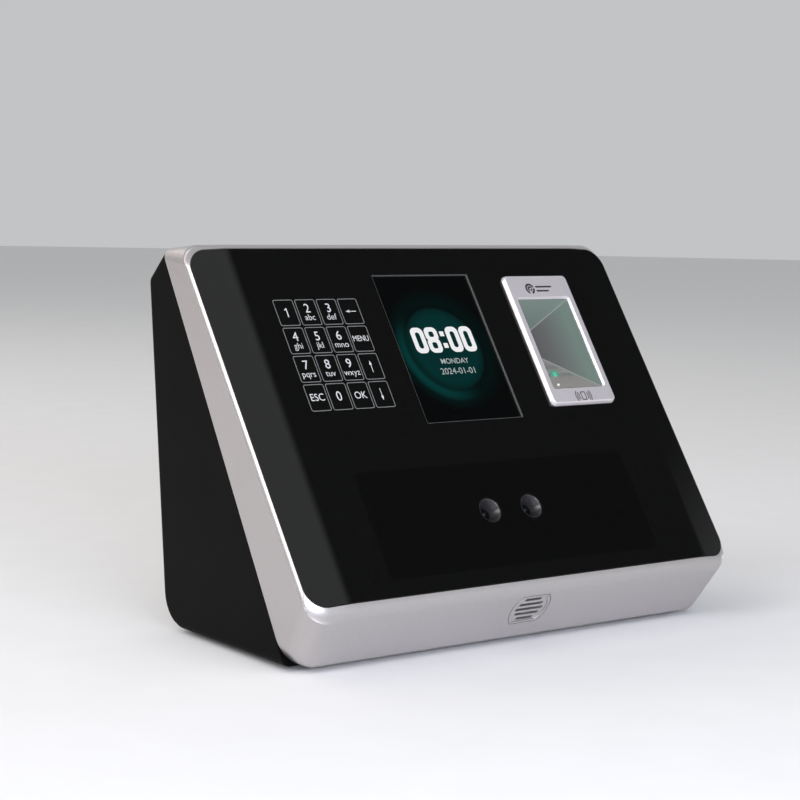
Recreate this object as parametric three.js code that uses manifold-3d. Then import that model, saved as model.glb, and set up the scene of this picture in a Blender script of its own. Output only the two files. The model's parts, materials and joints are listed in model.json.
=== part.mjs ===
// A wedge-shaped access terminal with a touch keypad, a display, a fingerprint reader and two face cameras.
//
// Units are millimetres. X runs to the right as seen from the front, Y to the back and Z up.
// Every size below is measured from the middle of the front panel's lower edge. The last lines
// move the whole terminal to the middle of its footprint, standing on its rubber feet.
// "Face" coordinates are u to the right, v up the slope and w out of the front panel;
// "depth" is how far a point lies behind the front panel's plane.

import * as THREE from 'three';
import { mergeVertices } from 'three/addons/utils/BufferGeometryUtils.js';
import Module from 'manifold-3d';

const wasm = await Module();
wasm.setup();

// ---------------------------------------------------------------- driving dimensions

const radians = THREE.MathUtils.degToRad;
const GAP = 0.3;

const FACE_LEAN = radians(33.07);
const CHIN_LEAN = radians(33.9);

const PANEL = { half: 117.5, height: 159.7, thickness: 3.6, corner: 8.5, wing: 22, bend: 8, drop: 1.8 };
const OUTER_HALF = 119.3;
const SIDE_DRAFT = 0.118;
const LIP_TOP = 162.4;
const CROWN_RISE = 0.48;
const FRAME_CORNER = 10.4;
const CHIN_CORNER = 12;
const CHIN_START = -4;
const CHIN_FALL = 0.425;
const SEAM_DEPTH = 30.7;
const SEAM_TAPER = 0.0846;
const WALL = 2.5;
const LEDGE_DEPTH = PANEL.thickness + GAP;

const ROOF_TOP = 168;
const ROOF_FALL = radians(38.2);
const ROOF_CORNER = 4.5;
const BACK_Y = 119.5;
const BOTTOM_Z = -26.9;
const FOOT_Z = -29.2;
const EDGE = 2.5;
const BACK_WALL = 4.6;
const BACK_INNER_Y = BACK_Y - BACK_WALL;
const PLATE_FLOOR_Y = BACK_Y - 2.1;
const BACK_CORNER = 14;

const LCD = { v: 110.4, width: 54.6, height: 72.2 };
const KEYPAD = { u: -62.6, v: 108.7, width: 44, height: 53 };
const FINGER = { u: 66, v: 111.5, width: 39.2, height: 66.4, window: 31.2, length: 45.8, windowV: 109.5 };
const CAMERA = { u: 11.7, v: 32.4, mouth: 5.2, throat: 2.3, depth: 4.6 };
const GRILLE = { y: 4.9, z: -13.9, radius: 10.4, flat: 7.4 };

const BOARD = { half: 80, bottom: -14, top: 72, front: 96.4, rear: 98 };
const BOARD_POSTS = [[-75, -9], [75, -9], [-75, 67], [75, 67]];
const CONNECTOR_Y = BOARD.rear + GAP;
const BAY = { inner: 12, outer: 68, bottom: -10, top: 22 };

const PLATE = { half: 60, bottom: 43, top: 107.4, travel: 6, thickness: 1.5, tongue: 8 };
const HOOK = { x: 40, levels: [58, 88], stem: 6, lift: 4 };
const TAMPER = { x: 30, z: 50 };
const LOCK = { y: 104.4, flangeZ: -8 };
const USB = { y: 80, z: 21 };
const USB_HINGE = { x: 111.15, y: 85 };
const FEET = [[-92, 34], [92, 34], [-84, 90], [84, 90]];
const CASE_SCREWS = [-80, 80];
const CASE_SCREW_Y = 31;

// ---------------------------------------------------------------- materials

const paint = (colour, roughness, metalness = 0) =>
  new THREE.MeshStandardMaterial({ color: colour, roughness, metalness });

const SILVER = paint(0xaea6a4, 0.36, 0.55);
const HOUSING_BLACK = paint(0x161614, 0.55);
const GLOSS_BLACK = paint(0x0b0b0b, 0.08);
const DARK_GLASS = paint(0x05090a, 0.05);
const CLEAR_GLASS = paint(0x7f948f, 0.05);
const CIRCUIT_GREEN = paint(0x14502a, 0.5);
const STEEL = paint(0xb6b8ba, 0.35, 0.9);
const BLACK_PLASTIC = paint(0x202022, 0.5);
const GREEN_PLASTIC = paint(0x2d8a4a, 0.45);
const RUBBER = paint(0x1a1a1a, 0.85);
const ALUMINIUM = paint(0xc4c6c8, 0.4, 0.8);
const GUNMETAL = paint(0x5a5c60, 0.4, 0.6);
const WHITE_PLASTIC = paint(0xd8d8d4, 0.5);

// ---------------------------------------------------------------- making and cutting solids

function solid(geometry) {
  const bare = geometry.clone();
  bare.deleteAttribute('normal');
  bare.deleteAttribute('uv');
  const merged = mergeVertices(bare, 1e-4);
  const mesh = new wasm.Mesh({
    numProp: 3,
    vertProperties: new Float32Array(merged.attributes.position.array),
    triVerts: new Uint32Array(merged.index.array),
  });
  return new wasm.Manifold(mesh);
}

function toGeometry(manifold) {
  const mesh = manifold.getMesh();
  const geometry = new THREE.BufferGeometry();
  geometry.setAttribute('position', new THREE.BufferAttribute(new Float32Array(mesh.vertProperties), 3));
  geometry.setIndex(new THREE.BufferAttribute(new Uint32Array(mesh.triVerts), 1));
  return geometry;
}

const join = (geometries) => toGeometry(geometries.map(solid).reduce((a, b) => a.add(b)));
const overlap = (a, b) => toGeometry(solid(a).intersect(solid(b)));

function cut(geometry, tools) {
  return toGeometry(tools.reduce((body, tool) => body.subtract(solid(tool)), solid(geometry)));
}

// A box between two values on each axis.
function block([x0, x1], [y0, y1], [z0, z1]) {
  const box = new THREE.BoxGeometry(x1 - x0, y1 - y0, z1 - z0);
  return box.translate((x0 + x1) / 2, (y0 + y1) / 2, (z0 + z1) / 2);
}

// A box given by its centre and size in the plane of its first two axes.
const slab = (x, y, width, height, zRange) =>
  block([x - width / 2, x + width / 2], [y - height / 2, y + height / 2], zRange);

function rodZ(x, y, radius, [z0, z1], sides = 16) {
  const rod = new THREE.CylinderGeometry(radius, radius, z1 - z0, sides).rotateX(Math.PI / 2);
  return rod.translate(x, y, (z0 + z1) / 2);
}

function rodY(x, z, radius, [y0, y1], sides = 16) {
  return new THREE.CylinderGeometry(radius, radius, y1 - y0, sides).translate(x, (y0 + y1) / 2, z);
}

// A turned piece about Z: the profile's points are [radius, z], and it starts and ends on the axis.
function turned(profile, sides = 20) {
  const points = profile.map(([radius, z]) => new THREE.Vector2(radius, z));
  return new THREE.LatheGeometry(points, sides).rotateX(Math.PI / 2);
}

function roundedShape(x, y, width, height, radius) {
  const [left, right, low, high] = [x - width / 2, x + width / 2, y - height / 2, y + height / 2];
  const shape = new THREE.Shape();
  shape.absarc(right - radius, low + radius, radius, -Math.PI / 2, 0);
  shape.absarc(right - radius, high - radius, radius, 0, Math.PI / 2);
  shape.absarc(left + radius, high - radius, radius, Math.PI / 2, Math.PI);
  shape.absarc(left + radius, low + radius, radius, Math.PI, Math.PI * 1.5);
  return shape;
}

function extruded(shape, [z0, z1], curveSegments = 4) {
  const options = { depth: z1 - z0, bevelEnabled: false, curveSegments };
  return new THREE.ExtrudeGeometry(shape, options).translate(0, 0, z0);
}

const roundedSlab = (x, y, width, height, radius, zRange) =>
  extruded(roundedShape(x, y, width, height, radius), zRange);

function polygon(points) {
  return new THREE.Shape(points.map(([x, y]) => new THREE.Vector2(x, y)));
}

// A side-view outline in (y, z), run across the terminal from x0 to x1.
function acrossX(points, [x0, x1]) {
  const across = new THREE.Matrix4().makeBasis(
    new THREE.Vector3(0, 1, 0), new THREE.Vector3(0, 0, 1), new THREE.Vector3(1, 0, 0));
  return extruded(polygon(points), [x0, x1]).applyMatrix4(across);
}

// A closed solid through convex rings of equally many points, from the front ring to the back one.
function loft(rings) {
  const count = rings[0].length;
  const index = [];
  for (let ring = 0; ring + 1 < rings.length; ring++) {
    for (let i = 0; i < count; i++) {
      const a = ring * count + i;
      const b = ring * count + ((i + 1) % count);
      index.push(a, a + count, b + count, a, b + count, b);
    }
  }
  const last = (rings.length - 1) * count;
  for (let i = 1; i + 1 < count; i++) {
    index.push(0, i, i + 1, last, last + i + 1, last + i);
  }
  const geometry = new THREE.BufferGeometry().setFromPoints(rings.flat());
  geometry.setIndex(index);
  return geometry;
}

// An arc between two angles in degrees, as [x, y] points.
function arc(x, y, radius, from, to, steps) {
  const points = [];
  for (let i = 0; i <= steps; i++) {
    const angle = radians(from + ((to - from) * i) / steps);
    points.push([x + radius * Math.cos(angle), y + radius * Math.sin(angle)]);
  }
  return points;
}

// ---------------------------------------------------------------- the terminal's outer shape

const seamDepth = (v) => SEAM_DEPTH - SEAM_TAPER * v;
const chinV = (depth) => CHIN_START - CHIN_FALL * depth;
const crownV = (depth) => LIP_TOP + CROWN_RISE * (depth - 0.5);
const faceY = (v, depth) => v * Math.sin(FACE_LEAN) + depth * Math.cos(FACE_LEAN);
const faceZ = (v, depth) => v * Math.cos(FACE_LEAN) - depth * Math.sin(FACE_LEAN);

// The front panel bends back in a shallow wing at each side.
function wingDepth(u) {
  const reach = Math.max(0, Math.abs(u) - (PANEL.half - PANEL.wing));
  const slope = PANEL.drop / (PANEL.wing - PANEL.bend / 2);
  if (reach < PANEL.bend) return (slope * reach ** 2) / (2 * PANEL.bend);
  return slope * (reach - PANEL.bend / 2);
}

// A rounded outline in (u, v), with extra points where the wings bend.
function outline({ half, bottom, top, topCorner, bottomCorner }) {
  const bends = [0.82, 0.87];
  const right = bends.map((share) => share * half);
  const across = [...right].reverse().concat(right.map((u) => -u));
  const inset = half - topCorner;
  const chinInset = half - bottomCorner;
  return [
    ...arc(chinInset, bottom + bottomCorner, bottomCorner, -90, 0, 5),
    ...arc(inset, top - topCorner, topCorner, 0, 90, 5),
    ...across.map((u) => [u, top]),
    ...arc(-inset, top - topCorner, topCorner, 90, 180, 5),
    ...arc(-chinInset, bottom + bottomCorner, bottomCorner, 180, 270, 5),
    ...[...across].reverse().map((u) => [u, bottom]),
  ];
}

// One ring of the frame: its outline drawn in by the sides' draft, at a depth given point by point.
function ring(shape, depthAt, inset = 0) {
  return outline({ half: OUTER_HALF - inset, ...shape }).map(([u, v]) => {
    const depth = depthAt(u, v);
    return new THREE.Vector3(u * (1 - (SIDE_DRAFT * depth) / OUTER_HALF), v, -depth);
  });
}

const faceToBody = new THREE.Matrix4().makeRotationX(Math.PI / 2 - FACE_LEAN);

// The drafted sides, as a prism that tapers towards the back and runs along v.
function draftedSides(inset) {
  const reach = 140;
  const [front, back] = [OUTER_HALF - inset, OUTER_HALF - inset - SIDE_DRAFT * reach];
  const shape = polygon([[-front, 0], [-back, -reach], [back, -reach], [front, 0]]);
  const alongV = new THREE.Matrix4().makeBasis(
    new THREE.Vector3(1, 0, 0), new THREE.Vector3(0, 0, 1), new THREE.Vector3(0, -1, 0));
  return extruded(shape, [-240, 120]).applyMatrix4(alongV).applyMatrix4(faceToBody);
}

// ---------------------------------------------------------------- the groups that hold the pieces

const terminal = new THREE.Group();
const face = new THREE.Group();
face.rotation.x = Math.PI / 2 - FACE_LEAN;
const chin = new THREE.Group();
chin.position.set(0, GRILLE.y, GRILLE.z);
chin.rotation.x = Math.PI / 2 + CHIN_LEAN;
terminal.add(face, chin);

function piece(name, geometry, material, group = terminal) {
  geometry.computeVertexNormals();
  const mesh = new THREE.Mesh(geometry, material);
  mesh.name = name;
  group.add(mesh);
}

// ---------------------------------------------------------------- front frame, panel and grille

function frontFrame() {
  const rim = { topCorner: 8.8, bottomCorner: 8.8 };
  const shell = loft([
    ring({ ...rim, half: PANEL.half + GAP, bottom: -GAP, top: PANEL.height + GAP }, wingDepth),
    ring({ half: 118.6, bottom: -2.6, top: LIP_TOP, topCorner: 9.8, bottomCorner: 9.6 },
      (u) => 0.5 + wingDepth(u)),
    ring({ bottom: chinV(3.1), top: crownV(3.1), topCorner: 9.6, bottomCorner: FRAME_CORNER },
      (u) => 3.1 + wingDepth(u) / 3),
    ring({ bottom: chinV(26.5), top: crownV(11), topCorner: 7, bottomCorner: CHIN_CORNER },
      (u, v) => seamDepth(v) - 5.5),
    ring({ bottom: -11.87, top: crownV(16.3), topCorner: 5.5, bottomCorner: CHIN_CORNER },
      (u, v) => seamDepth(v)),
  ]);
  const hollow = loft([
    ring({ bottom: -4, top: crownV(6.4) - 2.9, topCorner: 6.5, bottomCorner: 8 },
      () => LEDGE_DEPTH + WALL, WALL),
    ring({ bottom: -12.6, top: crownV(11) - 2.9, topCorner: 5, bottomCorner: 9.5 },
      (u, v) => seamDepth(v) - 5.5, WALL),
    ring({ bottom: -9.1, top: crownV(17.3) - 2.9, topCorner: 4, bottomCorner: 9.5 },
      (u, v) => seamDepth(v) + 1, WALL),
  ]);
  const panelSeat = extruded(roundedShape(0, PANEL.height / 2, 2 * (PANEL.half + GAP),
    PANEL.height + 2 * GAP, PANEL.corner + GAP), [-LEDGE_DEPTH, 5], 6);
  const opening = slab(0, PANEL.height / 2, 225, 149.7, [-LEDGE_DEPTH - 5, 5]);
  const lugs = [-60, 60].map((u) => block([u - 7, u + 7], [153.5, 157.5], [-22, -5]));

  const grilleHole = grilleDisc(GAP, [-12, 12]);
  grilleHole.rotateX(Math.PI / 2 + CHIN_LEAN).translate(0, GRILLE.y, GRILLE.z);
  grilleHole.applyMatrix4(faceToBody.clone().invert());

  const tabs = CASE_SCREWS.map((x) => {
    const tab = cut(block([x - 6, x + 6], [11, 37], [-24.1, -20.6]),
      [rodZ(x, CASE_SCREW_Y, 1.7, [-30, -10], 12)]);
    return tab.applyMatrix4(faceToBody.clone().invert());
  });
  const frame = join([cut(shell, [hollow, panelSeat, opening, grilleHole]), ...lugs, ...tabs]);
  piece('front_frame', frame, SILVER, face);
}

function frontPanel() {
  const { half, height, thickness, wing, bend, corner } = PANEL;
  const stations = [0, bend / 2, bend, wing].map((reach) => half - wing + reach);
  const rightSide = stations.map((u) => [u, -wingDepth(u)]);
  const leftSide = rightSide.map(([u, w]) => [-u, w]).reverse();
  const section = polygon([[-half, -thickness], [half, -thickness], ...[...rightSide].reverse(),
    ...leftSide.reverse()]);
  const alongV = new THREE.Matrix4().makeBasis(
    new THREE.Vector3(1, 0, 0), new THREE.Vector3(0, 0, 1), new THREE.Vector3(0, -1, 0));
  const bent = extruded(section, [-height - 5, 5]).applyMatrix4(alongV);
  const edge = extruded(roundedShape(0, height / 2, 2 * half, height, corner), [-10, 10], 6);
  const openings = [
    slab(0, LCD.v, LCD.width, LCD.height, [-10, 10]),
    roundedSlab(FINGER.u, FINGER.v, FINGER.width - 1.8, FINGER.height - 1.8, 2, [-10, 10]),
    ...[-1, 1].map((side) => rodZ(side * CAMERA.u, CAMERA.v, CAMERA.mouth + 0.5, [-10, 10], 24)),
  ];
  piece('front_panel', cut(overlap(bent, edge), openings), GLOSS_BLACK, face);
}

// A disc with a flat at the top and one at the bottom.
function grilleDisc(margin, [low, high]) {
  const flats = slab(0, 0, 30, 2 * (GRILLE.flat + margin), [low, high]);
  return overlap(rodZ(0, 0, GRILLE.radius + margin, [low, high], 32), flats);
}

function speakerAndGrille() {
  const rows = [[5.2, 9.4], [2.6, 13.4], [0, 15.6], [-2.6, 13.4], [-5.2, 9.4]];
  const slots = rows.map(([y, length]) => slab(0, y, length, 1.2, [-5, 5]));
  piece('speaker_grille', cut(grilleDisc(0, [-2.2, 0]), slots), SILVER, chin);
  const cone = [[7.2, -6], [7.2, -4], [6.4, -4], [3, -6.4], [0, -6.4]];
  const driver = turned([[0, -13], [6, -13], [6, -9], ...cone], 24);
  piece('speaker', driver, GUNMETAL, chin);
}

// ---------------------------------------------------------------- keypad and display

function keypad() {
  const board = slab(KEYPAD.u, KEYPAD.v, KEYPAD.width + 6, KEYPAD.height + 6, [-5.5, -3.9]);
  const controller = slab(KEYPAD.u, KEYPAD.v, 10, 10, [-7, -5.2]);
  piece('keypad_board', join([board, controller]), CIRCUIT_GREEN, face);
}

function display() {
  const { v, width, height } = LCD;
  piece('touch_glass', slab(0, v, width - 2 * GAP, height - 2 * GAP, [-3.4, -1]), DARK_GLASS, face);
  const gasket = cut(slab(0, v, width + 6, height + 8, [-4.9, -3.9]),
    [slab(0, v, width - 3, height - 3, [-8, 0])]);
  piece('display_gasket', gasket, RUBBER, face);
  piece('display_module', slab(0, v, width + 6, height + 8, [-7.8, -5.2]), DARK_GLASS, face);
  const tray = cut(slab(0, v, width + 9, height + 11, [-10.6, -6.4]),
    [slab(0, v, width + 6.6, height + 8.6, [-8.1, 0])]);
  piece('display_tray', tray, STEEL, face);
}

// ---------------------------------------------------------------- fingerprint reader

function fingerprintReader() {
  const { u, v, width, height, window, length, windowV } = FINGER;
  const flange = roundedSlab(u, v, width, height, 2.6, [GAP, 2]);
  const body = roundedSlab(u, v, width - 2.6, height - 2.6, 1.6, [-6, 0.6]);
  const opening = roundedSlab(u, windowV, window, length, 0.8, [-10, 5]);
  piece('fingerprint_bezel', cut(join([flange, body]), [opening]), SILVER, face);

  const [low, high] = [windowV - length / 2 + GAP, windowV + length / 2 - GAP];
  const halfGlass = window / 2 - GAP;
  const section = [[low, 0.9], [low, -0.2], [low + 31.5, -31.7], [high, -31.7], [high, 0.9]];
  const glass = acrossX(section, [-halfGlass, halfGlass]).translate(u, 0, 0);
  piece('fingerprint_prism', glass, CLEAR_GLASS, face);

  const box = slab(u, windowV, width - 4, length + 6, [-34, -6.3]);
  const inside = slab(u, windowV, window + 0.6, length + 2, [-32, 0]);
  piece('fingerprint_housing', cut(box, [inside]), BLACK_PLASTIC, face);
  piece('fingerprint_led_board', slab(u, windowV - 19, 28, 7, [-24, -22.4]), CIRCUIT_GREEN, face);
  const imager = turned([[0, -31.7], [7, -31.7], [7, -28], [4.4, -28], [4.4, -23], [0, -23]], 20);
  piece('fingerprint_imager', imager.translate(u, windowV - 8, 0), BLACK_PLASTIC, face);

  const antenna = cut(slab(u, windowV, 52, 72, [-5.6, -4.4]), [slab(u, windowV + 1, 40, 66, [-8, 0])]);
  piece('card_antenna', antenna, CIRCUIT_GREEN, face);
}

// ---------------------------------------------------------------- face cameras and their lamps

function cameras() {
  const { u, v, mouth, throat, depth } = CAMERA;
  const outside = [[throat, -6.4], [mouth + 0.2, -6.4], [mouth + 0.2, 0]];
  const funnel = [[throat, -depth], ...outside, [mouth, 0], [throat, -depth]];
  const dome = [[0, -8], [throat - GAP, -8], [throat - GAP, -5.6], [1.2, -4.9], [0, -4.7]];
  const barrelFront = [[4.4, -13], [4.4, -6.9], [2.4, -6.9], [2.4, -8.4], [0, -8.4]];
  const barrel = [[0, -18.2], [6.8, -18.2], [6.8, -13], ...barrelFront];
  for (const [side, name] of [[-1, 'left'], [1, 'right']]) {
    piece(`camera_cone_${name}`, turned(funnel, 28).translate(side * u, v, 0), GUNMETAL, face);
    piece(`camera_lens_${name}`, turned(dome, 16).translate(side * u, v, 0), DARK_GLASS, face);
    piece(`camera_barrel_${name}`, turned(barrel, 20).translate(side * u, v, 0), BLACK_PLASTIC, face);

    const board = slab(side * 46, v - 1, 50, 38, [-8.6, -7]);
    const lamps = [];
    for (const du of [-18, -6, 6, 18]) {
      for (const dv of [-11, 11]) lamps.push(rodZ(side * 46 + du, v - 1 + dv, 2.5, [-7.2, -4.2], 10));
    }
    piece(`infrared_lamp_board_${name}`, join([board, ...lamps]), CIRCUIT_GREEN, face);
  }
  piece('camera_board', slab(0, v, 46, 24, [-20.1, -18.5]), CIRCUIT_GREEN, face);
}

// ---------------------------------------------------------------- rear housing

const roofStart = seamDepth(ROOF_TOP) + GAP;
const roofZ = (y) =>
  faceZ(ROOF_TOP, roofStart) - (y - faceY(ROOF_TOP, roofStart)) * Math.tan(ROOF_FALL);

// Where the seam meets the line z = height + slope * y, in (y, z).
function seamMeets(height, slope) {
  const low = [faceY(0, SEAM_DEPTH + GAP), faceZ(0, SEAM_DEPTH + GAP)];
  const run = [faceY(1, seamDepth(1) + GAP) - low[0], faceZ(1, seamDepth(1) + GAP) - low[1]];
  const share = (height + slope * low[0] - low[1]) / (run[1] - slope * run[0]);
  return [low[0] + share * run[0], low[1] + share * run[1]];
}

// The side view of the housing, in (y, z), drawn in by an inset everywhere but at the seam.
function housingProfile(inset) {
  const cornerY = BACK_Y - ROOF_CORNER;
  const cornerZ = roofZ(cornerY) - ROOF_CORNER / Math.cos(ROOF_FALL);
  return [
    seamMeets(BOTTOM_Z + inset, 0),
    ...arc(BACK_Y - BACK_CORNER, BOTTOM_Z + BACK_CORNER, BACK_CORNER - inset, -90, 0, 7),
    ...arc(cornerY, cornerZ, ROOF_CORNER - inset, 0, 90 - THREE.MathUtils.radToDeg(ROOF_FALL), 3),
    seamMeets(roofZ(0) - inset / Math.cos(ROOF_FALL), -Math.tan(ROOF_FALL)),
  ];
}

// The housing's skin, with its side edges rounded.
function housingOuter() {
  const side = (sign) => [0, 30, 60, 90].map((angle) => {
    const [inset, draw] = [Math.sin, Math.cos].map((f) => EDGE * (1 - f(radians(angle))));
    return housingProfile(inset).map(([y, z]) => {
      const depth = y * Math.cos(FACE_LEAN) - z * Math.sin(FACE_LEAN);
      return new THREE.Vector3(sign * (OUTER_HALF - SIDE_DRAFT * depth - draw), y, z);
    });
  });
  return loft([...side(1), ...side(-1).reverse()]);
}

function housingShell() {
  const inner = [
    [14, BOTTOM_Z + WALL],
    ...arc(BACK_INNER_Y - 10, BOTTOM_Z + WALL + 10, 10, -90, 0, 4),
    [BACK_INNER_Y, roofZ(BACK_INNER_Y) - 3.2],
    [96, roofZ(96) - 3.2],
  ];
  return cut(housingOuter(), [overlap(acrossX(inner, [-130, 130]), draftedSides(WALL))]);
}

function rearHousing() {
  const posts = BOARD_POSTS.map(([x, z]) => rodY(x, z, 3.2, [CONNECTOR_Y, BACK_INNER_Y + 1], 12));
  const screwBoss = rodZ(0, LOCK.y, 5.5, [BOTTOM_Z + 1, -17], 16);
  const usbBoss = block([106.7, 110.5], [USB.y - 9, USB.y + 9], [USB.z - 12, USB.z + 12]);
  const bayWalls = [-1, 1].map((side) => {
    const [left, right] = [side * BAY.inner, side * BAY.outer].sort((a, b) => a - b);
    const sleeve = block([left - 1.6, right + 1.6], [103.4, BACK_INNER_Y + 1],
      [BAY.bottom - 1.6, BAY.top + 1.6]);
    return cut(sleeve, [block([left, right], [90, 130], [BAY.bottom, BAY.top])]);
  });
  const body = join([housingShell(), ...posts, screwBoss, usbBoss, ...bayWalls]);

  const bays = [-1, 1].map((side) => {
    const [left, right] = [side * BAY.inner, side * BAY.outer].sort((a, b) => a - b);
    return block([left, right], [BACK_INNER_Y - 1, 130], [BAY.bottom, BAY.top]);
  });
  const recess = block([-PLATE.half - 0.6, PLATE.half + 0.6], [PLATE_FLOOR_Y, 130],
    [PLATE.bottom - PLATE.travel - 0.4, PLATE.top + GAP]);
  const channel = block([-PLATE.tongue - 0.6, PLATE.tongue + 0.6], [PLATE_FLOOR_Y, 130], [-14.6, 40]);
  const hookSlots = [-1, 1].flatMap((side) => HOOK.levels.map((z) =>
    block([side * HOOK.x - 1.05, side * HOOK.x + 1.05], [109, 130],
      [z - PLATE.travel - GAP, z + HOOK.stem + GAP])));
  const flangeSlot = block([-6.6, 6.6], [109, 130], [LOCK.flangeZ - PLATE.travel - GAP, LOCK.flangeZ + 1.8]);
  const postHoles = BOARD_POSTS.map(([x, z]) => rodY(x, z, 1.4, [94, 110.4], 10));
  const tamperHole = rodY(TAMPER.x, TAMPER.z, 1.8, [109, 130], 14);
  const lockHole = [rodZ(0, LOCK.y, 3.2, [-30, -22.6], 16), rodZ(0, LOCK.y, 1.8, [-30, -10], 12)];
  const usbPocket = block([109.7, 130], [USB.y - 6, USB.y + 6.5], [USB.z - 9.3, USB.z + 9.3]);
  const usbHole = block([100, 115], [USB.y - 3.2, USB.y + 3.2], [USB.z - 7, USB.z + 7]);
  const footSeats = FEET.map(([x, y]) => rodZ(x, y, 6.3, [-30, BOTTOM_Z + 0.8], 20));
  const screwHoles = CASE_SCREWS.flatMap((x) => [
    rodZ(x, CASE_SCREW_Y, 3.2, [-30, BOTTOM_Z + 1.3], 16), rodZ(x, CASE_SCREW_Y, 1.7, [-30, -20], 12)]);
  const vents = [-1, 1].flatMap((side) => [46, 54, 62, 70, 78, 86, 94].map((z) =>
    slab(side * 80, 120, 22, 30, [z - 1.3, z + 1.3])));
  piece('rear_housing', cut(body, [...bays, recess, channel, ...hookSlots, flangeSlot, ...postHoles,
    tamperHole, ...lockHole, usbPocket, usbHole, ...footSeats, ...screwHoles, ...vents]), HOUSING_BLACK);
}

function feetAndScrews() {
  const names = ['front_left', 'front_right', 'rear_left', 'rear_right'];
  FEET.forEach(([x, y], i) => {
    const foot = turned([[0, FOOT_Z], [5.2, FOOT_Z], [6, FOOT_Z + 0.8], [6, BOTTOM_Z + 0.5],
      [0, BOTTOM_Z + 0.5]]);
    piece(`rubber_foot_${names[i]}`, foot.translate(x, y, 0), RUBBER);
  });
  CASE_SCREWS.forEach((x, i) => {
    const head = [[2.2, -27.7], [2.8, -27.1], [2.8, -25.9], [1.4, -25.9]];
    const screw = turned([[0, -27.7], ...head, [1.4, -19], [0, -19]], 16);
    piece(`case_screw_${['left', 'right'][i]}`, screw.translate(x, CASE_SCREW_Y, 0), STEEL);
  });
}

// ---------------------------------------------------------------- main board and its connectors

function mainBoard() {
  const holes = BOARD_POSTS.map(([x, z]) => rodY(x, z, 1.7, [80, 110], 12));
  const sheet = block([-BOARD.half, BOARD.half], [BOARD.front, BOARD.rear], [BOARD.bottom, BOARD.top]);
  piece('main_board', cut(sheet, holes), CIRCUIT_GREEN);

  const screw = turned([[0, -1.9], [2.6, -1.9], [2.6, -GAP], [1.1, -GAP], [1.1, 7], [0, 7]], 12);
  screw.rotateX(-Math.PI / 2);
  BOARD_POSTS.forEach(([x, z], i) => {
    const name = ['lower_left', 'lower_right', 'upper_left', 'upper_right'][i];
    piece(`board_screw_${name}`, screw.clone().translate(x, BOARD.front, z), STEEL);
  });

  const fins = [-17, -10.2, -3.4, 3.4, 10.2, 17].map((x) =>
    block([x - 0.9, x + 0.9], [84.4, 94.4], [30, 60]));
  piece('heat_sink', join([block([-20, 20], [93.9, 96.1], [30, 60]), ...fins]), ALUMINIUM);
  piece('door_relay', block([46, 61], [80.9, 96.1], [30, 49]), BLACK_PLASTIC);
  const holder = cut(rodY(-52, 42, 12.4, [90.8, 96.1], 24), [rodY(-52, 42, 10.6, [84, 94.4], 24)]);
  piece('battery_holder', holder, BLACK_PLASTIC);
  piece('backup_battery', rodY(-52, 42, 10, [90.6, 94], 24), STEEL);
}

function terminalBlock(name, ways, left) {
  const pitch = 5.08;
  const cuts = [];
  for (let way = 0; way < ways; way++) {
    const x = left + pitch * (way + 0.5);
    cuts.push(block([x - 1.7, x + 1.7], [103.4, 117], [-0.4, 3.6]));
    cuts.push(rodZ(x, 107.9, 1.6, [5, 12], 10));
  }
  const right = left + pitch * ways;
  piece(name, cut(block([left, right], [CONNECTOR_Y, 112.6], [-2, 8]), cuts), GREEN_PLASTIC);
}

function connectors() {
  terminalBlock('terminal_block_outer', 5, -65);
  terminalBlock('terminal_block_inner', 4, -36.5);

  const socket = [block([24.2, 35.8], [103, 117], [0.5, 8.6]), block([27, 33], [103, 117], [8, 10.4])];
  piece('ethernet_jack', cut(block([22, 38], [CONNECTOR_Y, 115.2], [-2, 11.5]), socket), STEEL);

  const jack = cut(block([45, 54], [CONNECTOR_Y, 112.4], [-2, 9]), [rodY(49.5, 3.6, 3.1, [101.4, 117], 20)]);
  piece('power_jack', join([jack, rodY(49.5, 3.6, 1, [100.4, 110.9], 12)]), BLACK_PLASTIC);

  const housing = cut(block([59, 65], [CONNECTOR_Y, 102.8], [0, 6]), [rodY(62, 3, 1.9, [99.8, 105], 14)]);
  piece('reset_switch', housing, BLACK_PLASTIC);
  piece('reset_button', rodY(62, 3, 1.6, [100.6, 111.9], 14), WHITE_PLASTIC);
}

// ---------------------------------------------------------------- tamper switch, USB port and wall plate

// A coil spring around Y: a round wire along a helix.
function coilSpring(x, z, radius, [y0, y1], turns, wire) {
  class Helix extends THREE.Curve {
    getPoint(t, target = new THREE.Vector3()) {
      const angle = 2 * Math.PI * turns * t;
      return target.set(x + radius * Math.cos(angle), y0 + (y1 - y0) * t, z + radius * Math.sin(angle));
    }
  }
  const section = new THREE.Shape().absarc(0, 0, wire, 0, 2 * Math.PI);
  const options = { steps: turns * 10, extrudePath: new Helix(), curveSegments: 3 };
  return new THREE.ExtrudeGeometry(section, options);
}

function tamperSwitch() {
  const { x, z } = TAMPER;
  const housing = block([x - 3.5, x + 3.5], [CONNECTOR_Y, 105.4], [z - 3.5, z + 3.5]);
  piece('tamper_switch', housing, BLACK_PLASTIC);
  const plunger = turned([[0, 107], [1.2, 107], [1.2, 110.4], [2.9, 110.4], [2.9, 111.4], [1.5, 111.4],
    [1.5, 116.8], [0.9, 117.45], [0, 117.45]], 16);
  piece('tamper_plunger', plunger.rotateX(-Math.PI / 2).translate(x, 0, z), WHITE_PLASTIC);
  piece('tamper_spring', coilSpring(x, z, 2, [106, 109.8], 4, 0.25), STEEL);
}

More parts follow.
